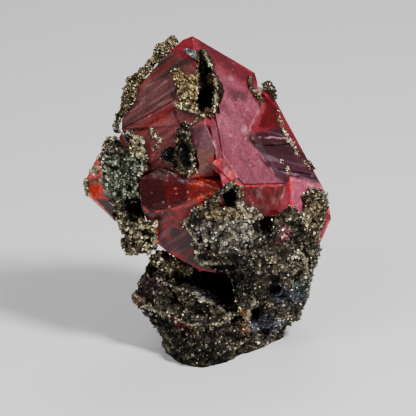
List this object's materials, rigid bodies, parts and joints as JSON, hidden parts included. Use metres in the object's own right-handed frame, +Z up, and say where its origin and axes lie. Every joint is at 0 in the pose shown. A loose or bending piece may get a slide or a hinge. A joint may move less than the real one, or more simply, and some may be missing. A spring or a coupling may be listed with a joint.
{
  "type": "raspberry calcite specimen",
  "caption": "Mineral specimen: a large raspberry-red calcite rhombohedron with side crystals on a vuggy sulphide rock with a flat base",
  "frame": {"origin": "on the flat base's plane, under the middle of the object's box", "axes": "+Z up, as the specimen stands; -Y is the side that the picture shows"},
  "size_m": [0.0622, 0.0522, 0.0792],
  "materials": {
    "calcite": "translucent raspberry red, satin on the faces, glassy on the breaks",
    "sulphide": "dark grey-brown granular rock, brassy grains",
    "pyrite": "pale brassy fine crystal crust"
  },
  "bodies": {
    "root": {"raspberry_crystal": "calcite", "side_crystal_left": "calcite", "side_crystal_right": "calcite", "sulphide_matrix": "sulphide", "left_sulphide_mass": "sulphide", "sulphide_cluster": "sulphide", "pyrite_crust_summit": "pyrite", "pyrite_crust_middle": "pyrite", "pyrite_crust_right_shoulder": "pyrite", "pyrite_crust_right_notch": "pyrite", "pyrite_crust_right_edge": "pyrite", "pyrite_crust_ridge": "pyrite"}
  },
  "joints": []
}
